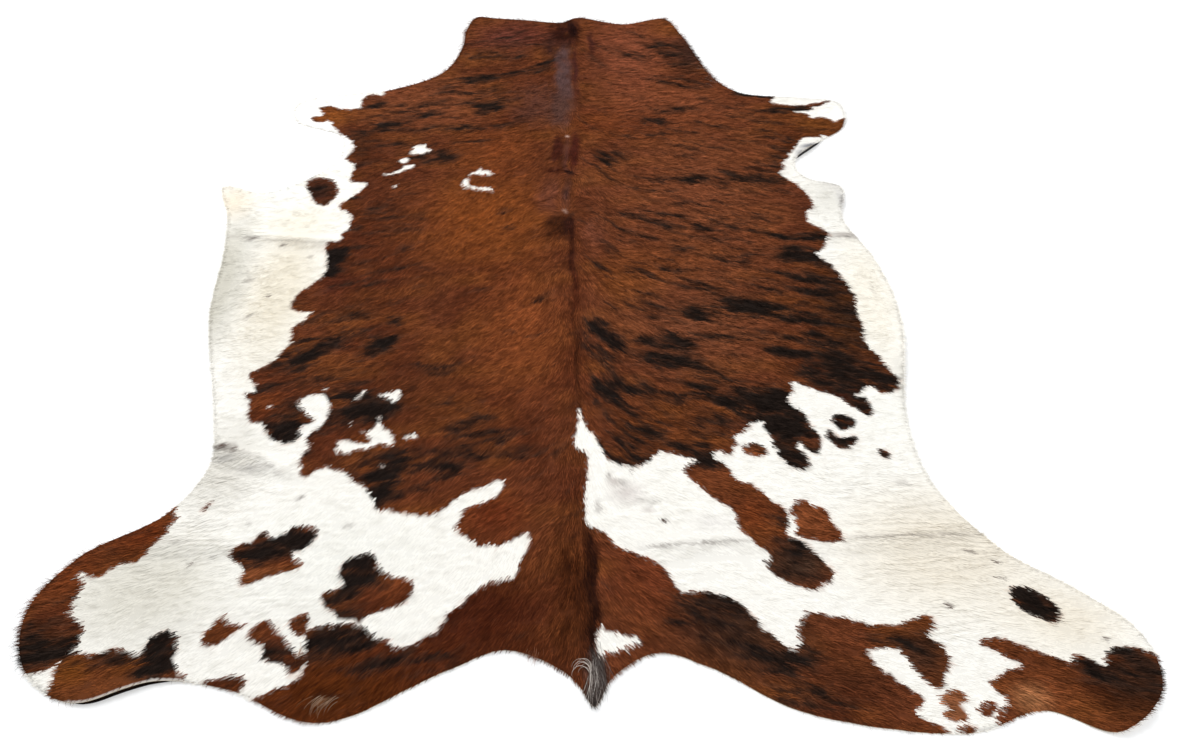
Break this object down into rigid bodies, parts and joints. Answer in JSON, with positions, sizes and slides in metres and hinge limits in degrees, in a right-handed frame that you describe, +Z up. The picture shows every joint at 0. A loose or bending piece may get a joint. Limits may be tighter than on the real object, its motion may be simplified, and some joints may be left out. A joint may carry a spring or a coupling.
{
  "type": "cowhide rug",
  "caption": "Hair-on cowhide rug: a whole hide lying flat, with brindle brown and white coat, neck, leg and tail ends, soft creases and slightly curled edges.",
  "frame": {"origin": "on the floor, under the middle of the hide's outline", "axes": "+Z up through the hair side, +Y towards the neck, +X towards the animal's right side as the rug lies hair side up"},
  "size_m": [1.9752, 2.2698, 0.0167],
  "materials": {
    "brown_coat": "short glossy chestnut and brindle hair, lying along the growth of the hide",
    "white_coat": "short white and cream hair over pale skin with fine wrinkles",
    "suede_back": "undyed pale buff suede flesh side, matt"
  },
  "bodies": {
    "root": {"hide": "brown_coat"}
  },
  "joints": []
}
